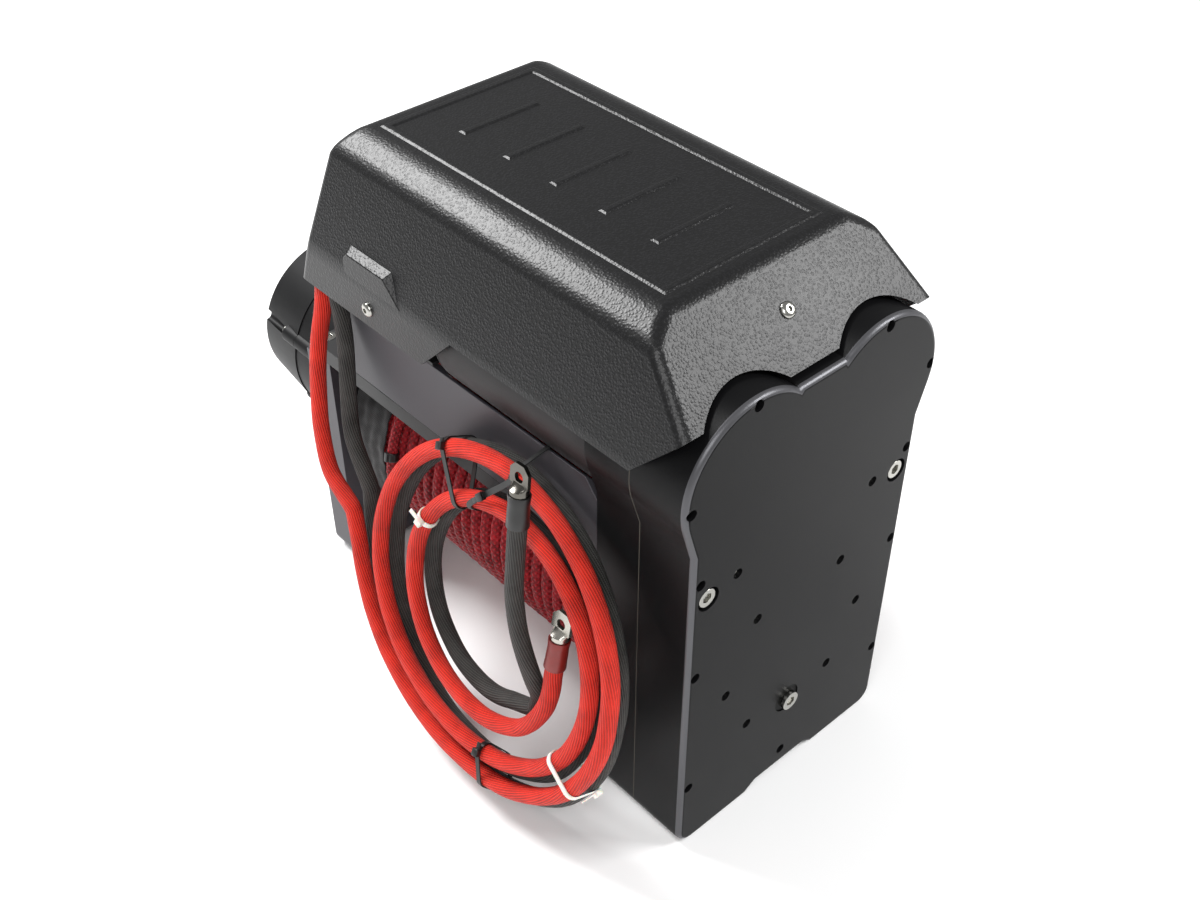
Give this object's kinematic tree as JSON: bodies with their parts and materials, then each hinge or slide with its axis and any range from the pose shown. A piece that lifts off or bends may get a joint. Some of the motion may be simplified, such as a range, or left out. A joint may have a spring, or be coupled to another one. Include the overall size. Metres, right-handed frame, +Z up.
{
  "type": "electric recovery winch",
  "caption": "Electric recovery winch: twin motors under a moulded cover, gear housing, rope drum, planetary gearbox with clutch knob and coiled battery leads.",
  "frame": {"origin": "on the ground, midway between the outer faces of the left end and the gear housing, under the drum axis", "axes": "+X along the drum axis towards the gear housing, +Y to the rear, away from the battery leads, +Z up"},
  "size_m": [0.6405, 0.3438, 0.4672],
  "materials": {
    "satin_alloy": "satin, cast and machined",
    "dark_alloy": "dark satin paint",
    "black_paint": "semi-gloss fine-grained black",
    "cover_plastic": "leather-grained moulding",
    "black_plastic": "matt",
    "zinc": "bright zinc plate",
    "steel": "machined",
    "drum_steel": "satin black paint",
    "brass": "machined",
    "tinned_lug": "tinned copper",
    "gasket": "matt sheet",
    "red_rubber": "satin cable sheath",
    "black_rubber": "satin",
    "rope": "braided synthetic rope",
    "sleeve_cloth": "woven cloth",
    "friction": "sintered lining",
    "clear_nylon": "natural nylon",
    "motor_paint": "satin dark grey paint",
    "magnet": "ferrite"
  },
  "bodies": {
    "frame": {"gear_case_outer": "black_paint", "gear_case_gasket": "gasket", "gear_case_inner": "black_paint", "case_screws": "zinc", "dowel_bolts": "zinc", "bearing_carrier": "satin_alloy", "left_frame": "satin_alloy", "tie_bar_front": "dark_alloy", "tie_bar_rear": "dark_alloy", "tie_plate_front": "satin_alloy", "tie_plate_rear": "satin_alloy", "tie_screws": "zinc", "front_motor_case": "motor_paint", "rear_motor_case": "motor_paint", "motor_end_caps": "motor_paint", "motor_magnets": "magnet", "motor_brushes": "brass", "power_terminals": "brass", "drum_bushes": "brass", "bearings": "steel", "ring_gear_housing": "dark_alloy", "gearbox_cap": "dark_alloy", "gearbox_screws": "zinc", "cover": "cover_plastic", "cover_screws": "zinc", "cover_shelf": "dark_alloy", "cover_brackets": "satin_alloy", "contactor": "black_plastic", "lead_grommet": "black_rubber", "red_lead": "red_rubber", "red_coil": "red_rubber", "red_lug": "tinned_lug", "black_lead": "black_rubber", "black_coil": "black_rubber", "black_lug": "tinned_lug", "lug_sleeves": "black_rubber", "black_ties": "black_plastic", "clear_ties": "clear_nylon"},
    "drum": {"drum": "drum_steel", "rope_core": "rope", "rope_layer": "rope", "rope_end": "rope", "rope_sleeve": "sleeve_cloth", "output_carrier": "steel"},
    "drive_shaft": {"drive_shaft": "steel", "output_gear": "steel"},
    "first_carrier": {"first_carrier": "steel"},
    "idler": {"idler_gear": "steel"},
    "brake_shaft": {"brake_shaft": "black_paint", "brake_discs": "friction", "hub_bolt": "zinc"},
    "front_armature": {"front_armature": "steel"},
    "rear_armature": {"rear_armature": "steel"},
    "clutch_knob": {"clutch_knob": "black_paint"},
    "first_planet_1": {"first_planet_1": "steel"},
    "second_planet_1": {"second_planet_1": "steel"},
    "first_planet_2": {"first_planet_2": "steel"},
    "second_planet_2": {"second_planet_2": "steel"},
    "first_planet_3": {"first_planet_3": "steel"},
    "second_planet_3": {"second_planet_3": "steel"}
  },
  "joints": [
    {"name": "drum_spin", "type": "hinge", "parent": "frame", "child": "drum", "pos_m": [0, 0, 0.152], "axis": [1, 0, 0], "continuous": true},
    {"name": "drive_shaft_spin", "type": "hinge", "parent": "frame", "child": "drive_shaft", "pos_m": [0, 0, 0.152], "axis": [1, 0, 0], "continuous": true},
    {"name": "first_carrier_spin", "type": "hinge", "parent": "frame", "child": "first_carrier", "pos_m": [-0.3, 0, 0.152], "axis": [1, 0, 0], "continuous": true},
    {"name": "idler_spin", "type": "hinge", "parent": "frame", "child": "idler", "pos_m": [0.196, 0, 0.281], "axis": [1, 0, 0], "continuous": true},
    {"name": "brake_shaft_spin", "type": "hinge", "parent": "frame", "child": "brake_shaft", "pos_m": [0.196, 0, 0.088], "axis": [1, 0, 0], "continuous": true},
    {"name": "front_armature_spin", "type": "hinge", "parent": "frame", "child": "front_armature", "pos_m": [0.05, -0.0636, 0.35817], "axis": [1, 0, 0], "continuous": true},
    {"name": "rear_armature_spin", "type": "hinge", "parent": "frame", "child": "rear_armature", "pos_m": [0.05, 0.0636, 0.35817], "axis": [1, 0, 0], "continuous": true},
    {"name": "first_planet_1_spin", "type": "hinge", "parent": "first_carrier", "child": "first_planet_1", "pos_m": [-0.3, 0.039, 0.152], "axis": [1, 0, 0], "continuous": true},
    {"name": "second_planet_1_spin", "type": "hinge", "parent": "drum", "child": "second_planet_1", "pos_m": [-0.26, 0.039, 0.152], "axis": [1, 0, 0], "continuous": true},
    {"name": "first_planet_2_spin", "type": "hinge", "parent": "first_carrier", "child": "first_planet_2", "pos_m": [-0.3, -0.0195, 0.18577], "axis": [1, 0, 0], "continuous": true},
    {"name": "second_planet_2_spin", "type": "hinge", "parent": "drum", "child": "second_planet_2", "pos_m": [-0.26, -0.0195, 0.18577], "axis": [1, 0, 0], "continuous": true},
    {"name": "first_planet_3_spin", "type": "hinge", "parent": "first_carrier", "child": "first_planet_3", "pos_m": [-0.3, -0.0195, 0.11823], "axis": [1, 0, 0], "continuous": true},
    {"name": "second_planet_3_spin", "type": "hinge", "parent": "drum", "child": "second_planet_3", "pos_m": [-0.26, -0.0195, 0.11823], "axis": [1, 0, 0], "continuous": true},
    {"name": "clutch_turn", "type": "hinge", "parent": "frame", "child": "clutch_knob", "pos_m": [-0.385, 0, 0.152], "axis": [1, 0, 0], "range_deg": [0, 90]}
  ],
  "couplings": [
    {"joint": "drive_shaft_spin", "follows": "drum_spin", "ratio": 31.041},
    {"joint": "first_carrier_spin", "follows": "drum_spin", "ratio": 5.5714},
    {"joint": "idler_spin", "follows": "drum_spin", "ratio": -17.203},
    {"joint": "brake_shaft_spin", "follows": "drum_spin", "ratio": -79.327},
    {"joint": "front_armature_spin", "follows": "drum_spin", "ratio": 83.993},
    {"joint": "rear_armature_spin", "follows": "drum_spin", "ratio": 83.993},
    {"joint": "first_planet_1_spin", "follows": "drum_spin", "ratio": -14.263},
    {"joint": "second_planet_1_spin", "follows": "drum_spin", "ratio": -2.56},
    {"joint": "first_planet_2_spin", "follows": "drum_spin", "ratio": -14.263},
    {"joint": "second_planet_2_spin", "follows": "drum_spin", "ratio": -2.56},
    {"joint": "first_planet_3_spin", "follows": "drum_spin", "ratio": -14.263},
    {"joint": "second_planet_3_spin", "follows": "drum_spin", "ratio": -2.56}
  ]
}
